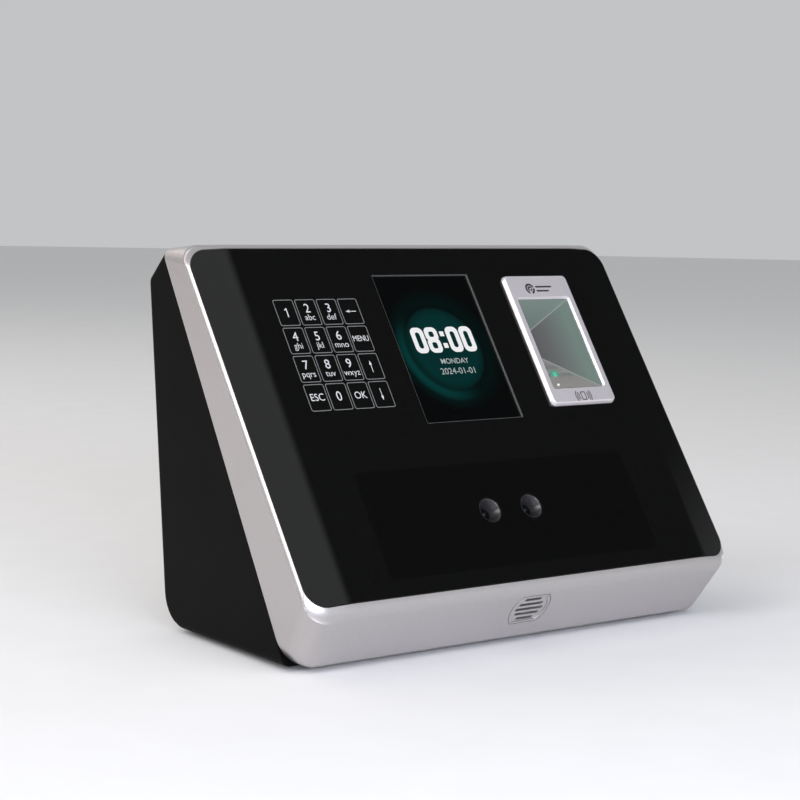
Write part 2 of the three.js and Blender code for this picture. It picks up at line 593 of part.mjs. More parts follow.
function usbPort() {
  const { y, z } = USB;
  const shell = cut(block([94.5, 109.4], [y - 2.9, y + 2.9], [z - 6.7, z + 6.7]),
    [block([99, 115], [y - 2.4, y + 2.4], [z - 6.1, z + 6.1])]);
  piece('usb_port', join([shell, block([97.5, 107.9], [y + 0.2, y + 1.8], [z - 5, z + 5])]), STEEL);
  piece('usb_board', block([87.5, 106.1], [y + 3.2, y + 4.8], [z - 13, z + 13]), CIRCUIT_GREEN);

  const radius = 1.15;
  const section = new THREE.Shape();
  section.moveTo(USB_HINGE.x - radius, y - 5.7);
  section.lineTo(USB_HINGE.x + radius, y - 5.7);
  section.absarc(USB_HINGE.x, USB_HINGE.y, radius, 0, Math.PI);
  piece('usb_cover', extruded(section, [z - 9, z + 9], 6), RUBBER);
}

function wallPlate() {
  const [front, rear] = [PLATE_FLOOR_Y + GAP, PLATE_FLOOR_Y + GAP + PLATE.thickness];
  const sheet = block([-PLATE.half, PLATE.half], [front, rear], [PLATE.bottom, PLATE.top]);
  const tongue = block([-PLATE.tongue, PLATE.tongue], [front, rear], [LOCK.flangeZ, PLATE.bottom + 1]);
  const flange = block([-6, 6], [LOCK.y - 4.5, rear - 0.1], [LOCK.flangeZ, LOCK.flangeZ + PLATE.thickness]);
  const hooks = [-1, 1].flatMap((side) => HOOK.levels.flatMap((z) => {
    const width = [side * HOOK.x - 0.75, side * HOOK.x + 0.75];
    return [block(width, [BACK_INNER_Y - 2.3, front + 0.5], [z, z + HOOK.stem]),
      block(width, [BACK_INNER_Y - 2.3, BACK_INNER_Y - GAP], [z, z + HOOK.stem + HOOK.lift])];
  }));
  const screwHoles = [-48, 48].flatMap((x) => [52, 98].map((z) => rodY(x, z, 2.4, [100, 130], 16)));
  const cableHole = block([-20, 20], [100, 130], [64, 92]);
  const flangeHole = rodZ(0, LOCK.y, 1.9, [LOCK.flangeZ - 5, LOCK.flangeZ + 5], 14);
  const plate = cut(join([sheet, tongue, flange, ...hooks]), [...screwHoles, cableHole, flangeHole]);
  piece('wall_plate', plate, STEEL);
  const head = [[2.3, -25.2], [2.8, -24.7], [2.8, -22.9], [1.5, -22.9]];
  const screw = turned([[0, -25.2], ...head, [1.5, -4.5], [0, -4.5]], 16);
  piece('lock_screw', screw.translate(0, LOCK.y, 0), STEEL);
}

// ---------------------------------------------------------------- assembly

frontFrame();
frontPanel();
speakerAndGrille();
keypad();
display();
fingerprintReader();
cameras();
rearHousing();
feetAndScrews();
mainBoard();
connectors();
tamperSwitch();
usbPort();
wallPlate();

const frontY = faceY(-2.6, 0.5);
terminal.position.set(0, -(frontY + BACK_Y) / 2, -FOOT_Z);

export default terminal;
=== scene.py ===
"""Fingerprint scanner terminal: the visual model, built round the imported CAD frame."""

import json
import math

import bmesh
import bpy
from mathutils import Matrix, Vector


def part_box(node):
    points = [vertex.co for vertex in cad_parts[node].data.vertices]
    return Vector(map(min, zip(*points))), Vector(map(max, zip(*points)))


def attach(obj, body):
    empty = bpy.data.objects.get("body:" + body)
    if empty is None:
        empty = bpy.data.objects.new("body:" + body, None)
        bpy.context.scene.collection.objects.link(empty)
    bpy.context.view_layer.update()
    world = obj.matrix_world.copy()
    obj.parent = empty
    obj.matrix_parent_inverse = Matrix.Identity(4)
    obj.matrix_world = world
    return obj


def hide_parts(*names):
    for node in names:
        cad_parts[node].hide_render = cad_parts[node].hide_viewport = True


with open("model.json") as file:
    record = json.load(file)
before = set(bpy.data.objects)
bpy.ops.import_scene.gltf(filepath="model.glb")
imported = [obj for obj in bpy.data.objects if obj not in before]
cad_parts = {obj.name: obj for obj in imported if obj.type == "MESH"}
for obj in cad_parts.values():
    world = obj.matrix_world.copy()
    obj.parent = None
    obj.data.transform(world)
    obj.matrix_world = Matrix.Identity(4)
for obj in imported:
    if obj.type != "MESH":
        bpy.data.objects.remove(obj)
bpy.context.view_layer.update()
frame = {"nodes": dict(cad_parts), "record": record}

# ------------------------------------------------------------ the frames that pieces are drawn in
# FACE: millimetres on the sloping front, u to the right, v up the slope, w out of it.
# CHIN: millimetres on the chin, centred on the speaker grille. BODY: millimetres, upright.

MM = 0.001
LEAN = math.radians(33.07)
CHIN_LEAN = math.radians(33.9)
CHIN_CENTRE = (0, 4.9, -13.9)
SIN, COS = math.sin(LEAN), math.cos(LEAN)
PANEL_THICK = 3.6
panel_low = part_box("front_panel")[0]
ORIGIN = Vector((0, panel_low.y, panel_low.z + PANEL_THICK * SIN * MM))


def axes(x, y, z, origin):
    turn = Matrix((x, y, z)).transposed().to_4x4()
    return Matrix.Translation(origin) @ turn @ Matrix.Scale(MM, 4)


FACE = axes((1, 0, 0), (0, SIN, COS), (0, -COS, SIN), ORIGIN)
BODY = axes((1, 0, 0), (0, 1, 0), (0, 0, 1), ORIGIN)
CHIN = axes((1, 0, 0), (0, -math.sin(CHIN_LEAN), math.cos(CHIN_LEAN)),
            (0, -math.cos(CHIN_LEAN), -math.sin(CHIN_LEAN)), BODY @ Vector(CHIN_CENTRE))

PANEL_HALF, PANEL_HEIGHT, PANEL_CORNER = 117.5, 159.7, 8.5
WING, BEND, WING_DROP = 22.0, 8.0, 1.8
OUTER_HALF, DRAFT = 119.3, 0.118
CHIN_START, CHIN_FALL = -4, 0.425
LIP_TOP, LIP_DEPTH, CROWN_RISE = 162.4, 0.5, 0.48
SEAM_DEPTH, SEAM_TAPER = 30.7, 0.0846
GAP = 0.3
LEDGE = 3.9
LCD_V, LCD_SIZE = 110.4, (54.6, 72.2)
READER_U, READER_V, WINDOW_V = 66.0, 111.5, 109.5
CONES_U, CONES_V = 11.7, 32.4
INK_LOW, INK_HIGH, TEXT_LEVEL = 0.004, 0.03, 0.018


def wing_depth(u):
    """How far the panel's face has bent back at u: a round bend, then a straight wing."""
    reach = max(0.0, abs(u) - (PANEL_HALF - WING))
    slope = WING_DROP / (WING - BEND / 2)
    return slope * reach ** 2 / (2 * BEND) if reach < BEND else slope * (reach - BEND / 2)


def seam_depth(v):
    """Where the frame meets the housing."""
    return SEAM_DEPTH - SEAM_TAPER * v


def chin_v(depth):
    return CHIN_START - CHIN_FALL * depth


def crown_v(depth):
    return LIP_TOP + CROWN_RISE * (depth - LIP_DEPTH)


# ------------------------------------------------------------ materials

CLOUD_SIZE, GRAIN_HEIGHT = 26, 0.12


def link(tree, value, socket):
    if isinstance(value, bpy.types.NodeSocket):
        tree.links.new(value, socket)
    else:
        socket.default_value = value


def calc(tree, operation, *values):
    node = tree.nodes.new("ShaderNodeMath")
    node.operation = operation
    for value, socket in zip(values, node.inputs):
        link(tree, value, socket)
    return node.outputs[0]


def ramp(tree, factor, stops):
    node = tree.nodes.new("ShaderNodeValToRGB")
    elements = node.color_ramp.elements
    while len(elements) < len(stops):
        elements.new(0.5)
    for element, (position, colour) in zip(elements, stops):
        element.position = position
        element.color = (*colour, 1)
    tree.links.new(factor, node.inputs[0])
    return node.outputs[0]


def place(tree):
    return tree.nodes.new("ShaderNodeTexCoord").outputs["Object"]


def face_place(tree):
    """u, v and w of the shaded point, in millimetres."""
    shifted = tree.nodes.new("ShaderNodeVectorMath")
    shifted.operation = "SUBTRACT"
    tree.links.new(place(tree), shifted.inputs[0])
    shifted.inputs[1].default_value = ORIGIN
    found = []
    for axis in ((1, 0, 0), (0, SIN, COS), (0, -COS, SIN)):
        dot = tree.nodes.new("ShaderNodeVectorMath")
        dot.operation = "DOT_PRODUCT"
        tree.links.new(shifted.outputs[0], dot.inputs[0])
        dot.inputs[1].default_value = axis
        found.append(calc(tree, "MULTIPLY", dot.outputs["Value"], 1 / MM))
    return found


def noise(tree, size_mm, detail=2.0):
    node = tree.nodes.new("ShaderNodeTexNoise")
    node.inputs["Scale"].default_value = 1 / (size_mm * MM)
    node.inputs["Detail"].default_value = detail
    tree.links.new(place(tree), node.inputs["Vector"])
    return node.outputs[0]


def flecked(tree, colour, size_mm, amount):
    """The colour, a little darker and lighter by turns."""
    dark, light = (tuple(c * (1 + side * amount) for c in colour) for side in (-1, 1))
    return ramp(tree, noise(tree, size_mm), [(0.3, dark), (0.7, light)])


def bare(name):
    made = bpy.data.materials.new(name)
    made.use_nodes = True
    tree = made.node_tree
    shader = tree.nodes["Principled BSDF"]
    return made, tree, shader


def finish(name, colour, rough, metallic, fleck, cloud, grain=None, **constants):
    """A surface: its colour flecked at one scale, its gloss clouded at another, and a fine grain.

    fleck is (size in mm, share of the colour) and grain is (size in mm, strength).
    """
    made, tree, shader = bare(name)
    tree.links.new(flecked(tree, colour, *fleck), shader.inputs["Base Color"])
    spread = calc(tree, "MULTIPLY_ADD", noise(tree, CLOUD_SIZE, 3), 2 * cloud, rough - cloud)
    tree.links.new(spread, shader.inputs["Roughness"])
    shader.inputs["Metallic"].default_value = metallic
    if grain:
        bump = tree.nodes.new("ShaderNodeBump")
        bump.inputs["Strength"].default_value = grain[1]
        bump.inputs["Distance"].default_value = grain[0] * GRAIN_HEIGHT * MM
        tree.links.new(noise(tree, grain[0], 3), bump.inputs["Height"])
        tree.links.new(bump.outputs[0], shader.inputs["Normal"])
    for key, value in constants.items():
        shader.inputs[key.replace("_", " ")].default_value = value
    return made


def glow(name, colour, strength):
    made, tree, shader = bare(name)
    shader.inputs["Base Color"].default_value = (0.01, 0.01, 0.01, 1)
    shader.inputs["Roughness"].default_value = 0.4
    tree.links.new(flecked(tree, colour, 0.8, 0.03), shader.inputs["Emission Color"])
    shader.inputs["Emission Strength"].default_value = strength
    return made


SILVER = finish("silver_paint", (0.50, 0.475, 0.47), 0.34, 0.84, (0.28, 0.09), 0.03, (0.3, 0.10))
BEZEL = finish("bezel_satin", (0.76, 0.71, 0.72), 0.30, 0.6, (0.25, 0.07), 0.03, (0.25, 0.08))
HOUSING = finish("housing_texture", (0.0018, 0.0018, 0.0017), 0.5, 0, (0.5, 0.18), 0.04,
                 (0.55, 0.3), Specular_IOR_Level=0.04)
GLOSS = finish("panel_gloss", (0.0032, 0.0032, 0.003), 0.055, 0, (3.0, 0.10), 0.02,
               Specular_IOR_Level=0.5)
WINDOW_FILM = finish("camera_window_film", (0.0022, 0.0022, 0.0021), 0.04, 0, (3.0, 0.1), 0.01,
                     Specular_IOR_Level=0.47)
SCREEN = finish("screen_glass", (0.001, 0.0013, 0.0014), 0.05, 0, (3.0, 0.1), 0.01,
                Specular_IOR_Level=0.4)
CONE = finish("cone_satin", (0.07, 0.069, 0.072), 0.28, 0.8, (0.3, 0.08), 0.03, (0.2, 0.08))
BLACK = finish("black_plastic", (0.02, 0.02, 0.021), 0.42, 0, (0.5, 0.15), 0.04, (0.4, 0.2))
BOARD = finish("circuit_board", (0.018, 0.10, 0.035), 0.38, 0, (0.9, 0.25), 0.04, (0.6, 0.2))
RUBBER = finish("rubber", (0.016, 0.016, 0.016), 0.8, 0, (0.4, 0.2), 0.05, (0.35, 0.5))
STEEL = finish("bright_steel", (0.58, 0.58, 0.59), 0.28, 1.0, (0.3, 0.05), 0.05, (0.3, 0.06))
PLATE = finish("plate_zinc", (0.50, 0.51, 0.53), 0.38, 0.9, (4.0, 0.12), 0.08, (0.8, 0.08))
SINK = finish("heat_sink_metal", (0.55, 0.56, 0.57), 0.4, 0.9, (0.4, 0.06), 0.05, (0.3, 0.1))
GUNMETAL = finish("speaker_metal", (0.12, 0.12, 0.125), 0.4, 0.7, (0.4, 0.1), 0.05, (0.3, 0.1))
GREEN = finish("green_plastic", (0.03, 0.26, 0.09), 0.42, 0, (0.5, 0.1), 0.04, (0.4, 0.15))
WHITE = finish("white_plastic", (0.72, 0.72, 0.69), 0.45, 0, (0.5, 0.05), 0.04, (0.4, 0.12))
PRINT = finish("print_light", (0.50, 0.50, 0.49), 0.5, 0, (0.3, 0.12), 0.02)
PRINT_LINE = finish("print_line", (0.155, 0.155, 0.15), 0.5, 0, (0.3, 0.2), 0.02)
PRINT_DARK = finish("print_dark", (0.018, 0.015, 0.017), 0.5, 0, (0.3, 0.15), 0.02)
TRIM = finish("window_trim", (0.10, 0.10, 0.10), 0.4, 0, (0.4, 0.08), 0.02)
LENS = finish("lens_glass", (0.004, 0.004, 0.006), 0.03, 0, (0.6, 0.2), 0.01, Coat_Weight=1.0,
              Coat_Roughness=0.02)

SLOT_LOOK = {
    "silver": SILVER, "housing_black": HOUSING, "gloss_black": GLOSS, "bezel_silver": BEZEL,
    "screen_glass": SCREEN, "prism_glass": SCREEN, "lens_glass": LENS, "cone_grey": CONE,
    "black_plastic": BLACK, "circuit_board": BOARD, "rubber": RUBBER, "steel": STEEL,
    "plate_steel": PLATE, "heat_sink": SINK, "speaker_metal": GUNMETAL, "green_plastic": GREEN,
    "white_plastic": WHITE,
}


# ------------------------------------------------------------ making meshes

def piece(name, mesh, look, body="terminal", stands_for=(), sharp=30):
    """Puts a mesh, already in metres, into the scene as one piece on one body."""
    obj = bpy.data.objects.new(name, mesh)
    bpy.context.scene.collection.objects.link(obj)
    mesh.materials.clear()
    mesh.materials.append(look)
    mesh.shade_smooth()
    mesh.set_sharp_from_angle(angle=math.radians(sharp))
    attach(obj, body)
    if stands_for:
        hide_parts(*stands_for)
    return obj


def mesh_of(verts, faces, frame_of=FACE):
    mesh = bpy.data.meshes.new("made")
    mesh.from_pydata([frame_of @ Vector(v) for v in verts], [], faces)
    tidy(mesh)
    return mesh


def tidy(mesh):
    work = bmesh.new()
    work.from_mesh(mesh)
    bmesh.ops.remove_doubles(work, verts=work.verts, dist=1e-7)
    bmesh.ops.recalc_face_normals(work, faces=work.faces)
    work.to_mesh(mesh)
    work.free()


def merged(meshes):
    work = bmesh.new()
    for mesh in meshes:
        work.from_mesh(mesh)
    out = bpy.data.meshes.new("merged")
    work.to_mesh(out)
    work.free()
    return out


def loft(rings, looped=False):
    """Quads between rings of equal length; the ends are closed, or joined to each other."""
    count = len(rings[0])
    verts = [point for ring in rings for point in ring]
    faces = []
    last = len(rings) if looped else len(rings) - 1
    for i in range(last):
        a, b = i * count, ((i + 1) % len(rings)) * count
        for j in range(count):
            k = (j + 1) % count
            faces.append((a + j, a + k, b + k, b + j))
    if not looped:
        faces.append(tuple(range(count))[::-1])
        faces.append(tuple((len(rings) - 1) * count + j for j in range(count)))
    return verts, faces


def arc(cx, cy, radius, start, end, steps):
    angles = [math.radians(start + (end - start) * i / steps) for i in range(steps + 1)]
    return [(cx + radius * math.cos(a), cy + radius * math.sin(a)) for a in angles]


def rounded(cx, cy, width, height, radius, steps=8):
    x, y = width / 2 - radius, height / 2 - radius
    return [point for dx, dy, start in ((x, -y, -90), (x, y, 0), (-x, y, 90), (-x, -y, 180))
            for point in arc(cx + dx, cy + dy, radius, start, start + 90, steps)]


def at(points, w):
    return [(x, y, w) for x, y in points]


def slab(points, low, high, edge=0.0, frame_of=FACE):
    """A flat solid from an outline, with a small chamfer round its front when edge is given."""
    rings = [at(points, low), at(points, high - edge)]
    if edge:
        cx = sum(p[0] for p in points) / len(points)
        cy = sum(p[1] for p in points) / len(points)
        half = max(abs(p[0] - cx) for p in points), max(abs(p[1] - cy) for p in points)
        for share, drop in ((0.3, 0.3), (1.0, 0.0)):
            rings.append([(cx + (x - cx) * (1 - edge * share / half[0]),
                           cy + (y - cy) * (1 - edge * share / half[1]), high - edge * drop)
                          for x, y in points])
    return mesh_of(*loft(rings), frame_of)


def strip(outer, inner, low, high):
    """A flat ring between two outlines with the same number of points."""
    rings = [at(outer, low), at(outer, high), at(inner, high), at(inner, low)]
    return mesh_of(*loft(rings, looped=True))


def turned(profile, centre, steps):
    """A body of revolution round w; (radius, w) pairs run from axis to axis or in a loop."""
    looped = profile[0] == profile[-1]
    rows = profile[:-1] if looped else profile
    rings = [[(centre[0] + max(r, 1e-4) * math.cos(2 * math.pi * i / steps),
               centre[1] + max(r, 1e-4) * math.sin(2 * math.pi * i / steps), w)
              for i in range(steps)] for r, w in rows]
    return mesh_of(*loft(rings, looped))


def applied(mesh, *modifiers):
    """The mesh after modifiers, each given as (kind, settings)."""
    obj = bpy.data.objects.new("work", mesh)
    bpy.context.scene.collection.objects.link(obj)
    for kind, settings in modifiers:
        modifier = obj.modifiers.new(kind, kind)
        for key, value in settings.items():
            setattr(modifier, key, value)
    graph = bpy.context.evaluated_depsgraph_get()
    out = bpy.data.meshes.new_from_object(obj.evaluated_get(graph))
    bpy.data.objects.remove(obj)
    return out


def boolean(mesh, operation, cutters):
    tools = []
    for cutter in cutters:
        tool = bpy.data.objects.new("tool", cutter)
        bpy.context.scene.collection.objects.link(tool)
        tools.append(tool)
    out = applied(mesh, *(("BOOLEAN", {"operation": operation, "solver": "EXACT", "object": tool})
                          for tool in tools))
    for tool in tools:
        bpy.data.objects.remove(tool)
    return out


def softened(mesh, width, segments, angle):
    return applied(mesh, ("BEVEL", {"width": width * MM, "segments": segments,
                                    "limit_method": "ANGLE", "angle_limit": math.radians(angle),
                                    "use_clamp_overlap": True, "miter_outer": "MITER_ARC"}))


def weighted(obj):
    obj.modifiers.new("weighted", "WEIGHTED_NORMAL").keep_sharp = True


def lettering(text, size, u, v, w, weight=0.0, narrow=1.0):
    curve = bpy.data.curves.new("text", "FONT")
    curve.body = text
    curve.size = size
    curve.align_x, curve.align_y = "CENTER", "CENTER"
    curve.extrude = 0.012
    curve.offset = weight
    curve.resolution_u = 5
    obj = bpy.data.objects.new("text", curve)
    bpy.context.scene.collection.objects.link(obj)
    graph = bpy.context.evaluated_depsgraph_get()
    mesh = bpy.data.meshes.new_from_object(obj.evaluated_get(graph))
    mesh.transform(FACE @ Matrix.Translation((u, v, w)) @ Matrix.Diagonal((narrow, 1, 1, 1)))
    bpy.data.objects.remove(obj)
    return mesh


# ------------------------------------------------------------ front frame

STATIONS = [105, 102, 99, 95.5, 60, 20, -20, -60, -95.5, -99, -102, -105]


def frame_ring(bottom, top, top_corner, bottom_corner, depth_at, half=OUTER_HALF):
    """A rounded outline of the frame; its depth under the face may differ from point to point."""
    x, low_x = half - top_corner, half - bottom_corner
    points = (arc(low_x, bottom + bottom_corner, bottom_corner, -90, 0, 12)
              + arc(x, top - top_corner, top_corner, 0, 90, 12)
              + [(u, top) for u in STATIONS]
              + arc(-x, top - top_corner, top_corner, 90, 180, 12)
              + arc(-low_x, bottom + bottom_corner, bottom_corner, 180, 270, 12)
              + [(u, bottom) for u in reversed(STATIONS)])
    out = []
    for u, v in points:
        depth = depth_at(u, v)
        out.append(Vector((u * (1 - DRAFT * depth / OUTER_HALF), v, -depth)))
    return out


def between(a, b, share):
    return [p.lerp(q, share) for p, q in zip(a, b)]


def curve_of(a, corner, b, steps):
    """Rings along a quadratic curve that rounds the corner between a and b."""
    out = []
    for i in range(steps + 1):
        t = i / steps
        out.append(between(between(a, corner, t), between(corner, b, t), t))
    return out


# Bottom, top, half width, depth at the sides and top, depth along the bottom. The lip is a flat
# chamfer at the sides and top, and a full curve into the chin along the bottom.
LIP_ROWS = [(-0.4, 160.1, 117.88, 0.10, 0.05), (-0.75, 160.4, 118.0, 0.12, 0.14),
            (-1.75, 160.97, 118.28, 0.45, 0.55), (-2.75, 161.65, 118.61, 0.85, 1.15),
            (-3.7, 162.35, 118.95, 1.25, 1.95), (-4.45, 162.8, 119.1, 1.8, 2.8)]
LIP_BLEND = 11


def lip_ring(bottom, top, half, side_depth, chin_depth):
    def depth(u, v):
        share = min(1.0, max(0.0, (v - bottom) / LIP_BLEND))
        share = share * share * (3 - 2 * share)
        return chin_depth + (side_depth - chin_depth) * share + wing_depth(u)
    return frame_ring(bottom, top, 9.4, 9.3, depth, half=half)


def front_frame():
    seat_half = PANEL_HALF + GAP
    seat = (-GAP, PANEL_HEIGHT + GAP, 8.8, 8.8)
    inset = 2.5
    ledge_front = frame_ring(5, 154.7, 1, 1, lambda u, v: LEDGE, half=112.5)
    seat_floor = frame_ring(*seat, lambda u, v: LEDGE, half=seat_half)
    seat_top = frame_ring(*seat, lambda u, v: 0.25 + wing_depth(u), half=seat_half)
    lip = [lip_ring(*row) for row in LIP_ROWS]
    third = frame_ring(chin_v(4.3), crown_v(3.1), 9.6, 10.4,
                       lambda u, v: (4.3 if v < 0 else 3.1) + wing_depth(u) / 3)
    fourth = frame_ring(chin_v(26.5), crown_v(11), 7, 12, lambda u, v: seam_depth(v) - 5.5)
    fifth = frame_ring(-11.87, crown_v(16.3), 5.5, 12, lambda u, v: seam_depth(v))
    seam_inner = frame_ring(-9.4, crown_v(16.3) - 2.9, 4, 9.5, lambda u, v: seam_depth(v),
                            half=OUTER_HALF - inset)
    inner_low = frame_ring(-12.6, crown_v(11) - 2.9, 5, 9.5, lambda u, v: seam_depth(v) - 5.5,
                           half=OUTER_HALF - inset)
    inner_top = frame_ring(-4, crown_v(6.4) - 2.9, 6.5, 8, lambda u, v: LEDGE + inset,
                           half=OUTER_HALF - inset)
    ledge_back = frame_ring(5, 154.7, 1, 1, lambda u, v: LEDGE + inset, half=112.5)
    side = [between(third, fourth, share) for share in (0.25, 0.5, 0.75)]
    foot = curve_of(between(third, fourth, 0.93), fourth, between(fourth, fifth, 0.36), 5)
    rim = curve_of(between(fourth, fifth, 0.93), fifth, between(fifth, seam_inner, 0.14), 3)
    rings = [ledge_front, seat_floor, seat_top, *lip, third, *side, *foot, *rim,
             seam_inner, inner_low, inner_top, ledge_back]
    shell = mesh_of(*loft(rings, looped=True))
    hole = slab(grille_outline(10.7, 7.7), -12, 12, frame_of=CHIN)
    weighted(piece("front_frame_shell", boolean(shell, "DIFFERENCE", [hole]), SILVER,
                   stands_for=["front_frame"], sharp=28))


def grille_outline(radius, flat):
    """A disc with a flat at the top and the bottom, its four corners eased."""
    lean = math.degrees(math.asin(flat / radius))
    return arc(0, 0, radius, -lean, lean, 20) + arc(0, 0, radius, 180 - lean, 180 + lean, 20)


def grille():
    """A dished insert with five slots; each row is a slot's height and length."""
    rows = [(5.2, 9.4), (2.6, 13.4), (0, 15.6), (-2.6, 13.4), (-5.2, 9.4)]
    disc = slab(grille_outline(10.4, 7.4), -2.2, 0, frame_of=CHIN)
    dish = slab(grille_outline(9.3, 6.5), -0.45, 1, frame_of=CHIN)
    slots = [slab(rounded(0, y, length, 1.35, 0.6, 6), -5, 5, frame_of=CHIN) for y, length in rows]
    insert = softened(boolean(disc, "DIFFERENCE", [dish, *slots]), 0.16, 2, 40)
    weighted(piece("speaker_grille_insert", insert, SILVER,
                   stands_for=["speaker_grille"]))
    piece("speaker_cloth", slab(grille_outline(10.2, 7.2), -3.6, -3.2, frame_of=CHIN), HOUSING)


# ------------------------------------------------------------ front panel, keys and camera window

def camera_holes(radius, reach):
    return [turned([(0, -reach), (radius, -reach), (radius, reach), (0, reach)],
                   (side * CONES_U, CONES_V), 48) for side in (-1, 1)]


def front_panel():
    reaches = [BEND * i / 12 for i in range(13)] + [14, WING + 2]
    top = [(PANEL_HALF - WING + reach, -wing_depth(PANEL_HALF - WING + reach)) for reach in reaches]
    section = [(-PANEL_HALF - 2, -PANEL_THICK), (PANEL_HALF + 2, -PANEL_THICK), *reversed(top),
               *[(-u, w) for u, w in top]]
    bent = mesh_of(*loft([[(u, v, w) for u, w in section] for v in (-5, PANEL_HEIGHT + 5)]))
    outline = rounded(0, PANEL_HEIGHT / 2, 2 * PANEL_HALF, PANEL_HEIGHT, PANEL_CORNER, 14)
    solid = boolean(bent, "INTERSECT", [slab(outline, -10, 10)])
    cuts = [slab(rounded(0, LCD_V, *LCD_SIZE, 0.4, 3), -10, 10),
            slab(rounded(READER_U, READER_V, 37.4, 64.6, 2, 6), -10, 10)]
    cuts += camera_holes(5.7, 10)
    solid = softened(boolean(solid, "DIFFERENCE", cuts), 0.35, 3, 40)
    weighted(piece("front_panel_glass", solid, GLOSS, stands_for=["front_panel"],
                   sharp=50))
    film = slab(rounded(0, 30.7, 151, 47.5, 2.5, 6), 0.002, 0.02)
    piece("camera_window", boolean(film, "DIFFERENCE", camera_holes(5.9, 1)), WINDOW_FILM)


KEY_ROWS = [
    [("1", ""), ("2", "abc"), ("3", "def"), ("left", "")],
    [("4", "ghi"), ("5", "jkl"), ("6", "mno"), ("MENU", "")],
    [("7", "pqrs"), ("8", "tuv"), ("9", "wxyz"), ("up", "")],
    [("ESC", ""), ("0", ""), ("OK", ""), ("down", "")],
]
ARROW_ANGLES = {"left": 180, "up": 90, "down": -90}
# Height and width factor of a legend that stands alone, by its number of letters.
LEGEND_SHAPES = {1: (6.2, 0.95), 2: (4.6, 0.95), 3: (4.7, 0.95), 4: (3.9, 0.8)}


def arrow(u, v, angle):
    length, width, head = 5.6, 0.32, 1.35
    tip, neck = length / 2, length / 2 - 1.5 * head
    outline = [(-length / 2, -width / 2), (neck, -width / 2), (neck, -head / 2), (tip, 0),
               (neck, head / 2), (neck, width / 2), (-length / 2, width / 2)]
    turn = Matrix.Rotation(math.radians(angle), 2)
    points = [tuple(turn @ Vector(p)) for p in outline]
    return slab([(u + x, v + y) for x, y in points], INK_LOW, INK_HIGH)


def digit_one(u, v):
    """A bar with a flag, so that it reads as a figure."""
    outline = [(0.1, -2.1), (0.62, -2.1), (0.62, 2.2), (0.22, 2.2), (-0.75, 1.35), (-0.55, 0.95),
               (0.1, 1.45)]
    return slab([(u + x, v + y) for x, y in outline], 0.012, INK_HIGH)


def keypad():
    lines, legends = [], []
    left, top, step_u, step_v = -84.6, 135.1, 11.2, 13.27
    size, line = (10.3, 12.35), 0.31
    for row, keys in enumerate(KEY_ROWS):
        for column, (name, letters) in enumerate(keys):
            u = left + size[0] / 2 + column * step_u
            v = top - size[1] / 2 - row * step_v
            outer = rounded(u, v, *size, 1.0, 6)
            inner = rounded(u, v, size[0] - 2 * line, size[1] - 2 * line, 0.72, 6)
            lines.append(strip(outer, inner, INK_LOW, INK_HIGH))
            if name in ARROW_ANGLES:
                legends.append(arrow(u, v, ARROW_ANGLES[name]))
            elif letters:
                legends.append(lettering(name, 6.0, u, v + 1.7, TEXT_LEVEL))
                legends.append(lettering(letters, 4.1, u, v - 2.5, TEXT_LEVEL, weight=-0.02))
            elif name == "1":
                legends.append(digit_one(u, v))
            else:
                height, narrow = LEGEND_SHAPES[len(name)]
                legends.append(lettering(name, height, u, v, TEXT_LEVEL, narrow=narrow))
    piece("key_outlines", merged(lines), PRINT_LINE)
    piece("key_legends", merged(legends), PRINT, sharp=60)


# ------------------------------------------------------------ display

def wallpaper():
    """A teal disc on a dark ground, with a crescent at its lower left."""
    made, tree, shader = bare("display_wallpaper")
    u, v, _ = face_place(tree)
    du, dv = calc(tree, "ADD", u, 1.0), calc(tree, "SUBTRACT", v, 109.9)
    radius = calc(tree, "SQRT", calc(tree, "ADD", calc(tree, "MULTIPLY", du, du),
                                     calc(tree, "MULTIPLY", dv, dv)))
    reach = calc(tree, "DIVIDE", radius, 30.0)
    disc = ramp(tree, reach, [(0.0, (0.0, 0.022, 0.021)), (0.55, (0.0, 0.024, 0.023)),
                              (0.655, (0.0, 0.014, 0.013)), (0.69, (0.0, 0.003, 0.003)),
                              (0.80, (0.0, 0.004, 0.004)), (0.86, (0.0, 0.0035, 0.003)),
                              (1.0, (0.0006, 0.0008, 0.0008))])
    crescent = ramp(tree, reach, [(0.66, (0, 0, 0)), (0.73, (0.0, 0.034, 0.032)),
                                  (0.80, (0.0, 0.028, 0.026)), (0.87, (0.0, 0.003, 0.003)),
                                  (1.0, (0, 0, 0))])
    lean = calc(tree, "MULTIPLY_ADD", du, -0.80, calc(tree, "MULTIPLY", dv, -0.60))
    share = calc(tree, "DIVIDE", lean, calc(tree, "MAXIMUM", radius, 0.1))
    side = tree.nodes.new("ShaderNodeMapRange")
    side.inputs["From Min"].default_value = 0.1
    side.interpolation_type = "SMOOTHSTEP"
    tree.links.new(share, side.inputs["Value"])
    mix = tree.nodes.new("ShaderNodeMix")
    mix.data_type, mix.blend_type = "RGBA", "ADD"
    tree.links.new(side.outputs[0], mix.inputs["Factor"])
    tree.links.new(disc, mix.inputs["A"])
    tree.links.new(crescent, mix.inputs["B"])
    tree.links.new(mix.outputs["Result"], shader.inputs["Emission Color"])
    shader.inputs["Emission Strength"].default_value = 1.0
    shader.inputs["Base Color"].default_value = (0.0008, 0.001, 0.001, 1)
    shader.inputs["Roughness"].default_value = 0.05
    shader.inputs["Specular IOR Level"].default_value = 0.35
    return made


def digit_zero(u, v, w):
    wide, tall, stroke = 7.15, 12.6, 2.3
    return strip(rounded(u, v, wide, tall, 2.7, 8),
                 rounded(u, v, wide - 2 * stroke, tall - 2 * stroke, 1.2, 8), w, w + 0.02)


